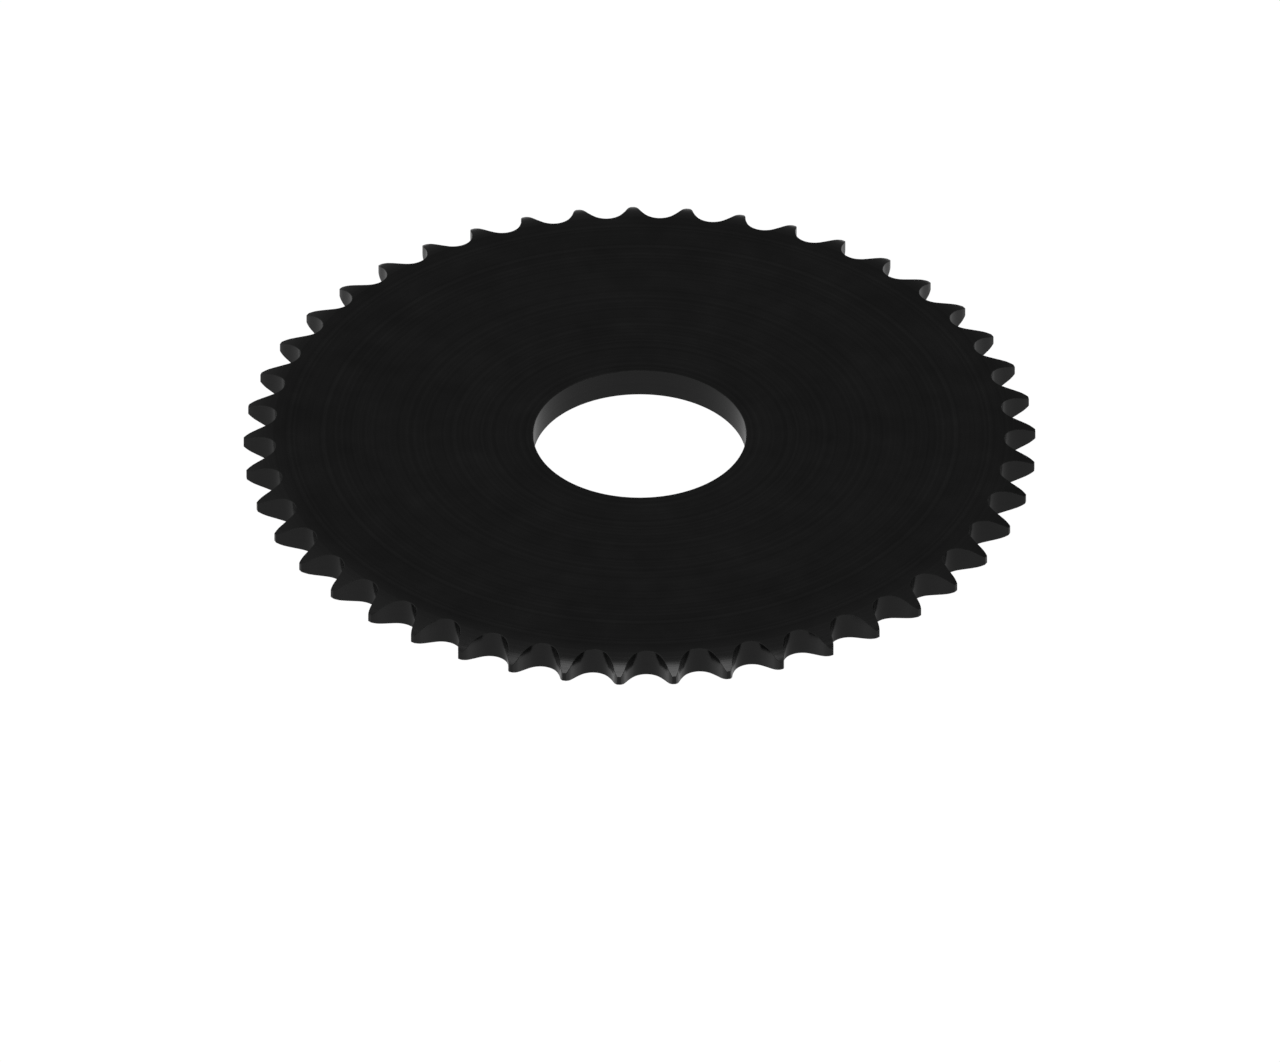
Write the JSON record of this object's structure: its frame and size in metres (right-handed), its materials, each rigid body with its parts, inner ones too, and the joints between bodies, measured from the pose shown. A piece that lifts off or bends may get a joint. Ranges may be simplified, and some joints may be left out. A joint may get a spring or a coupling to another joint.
{
  "type": "roller chain rear sprocket",
  "caption": "Flat round steel plate sprocket with roller chain teeth thinned towards their tips and a plain round centre bore, in black.",
  "frame": {"origin": "centre of the bore, halfway through the plate", "axes": "+Z along the bore's axis, +X through the middle of one tooth; the two flat faces look along +Z and -Z"},
  "size_m": [0.2358, 0.236, 0.0088],
  "materials": {
    "black_steel": "satin black oxide on machined steel"
  },
  "bodies": {
    "root": {"sprocket_plate": "black_steel"}
  },
  "joints": []
}
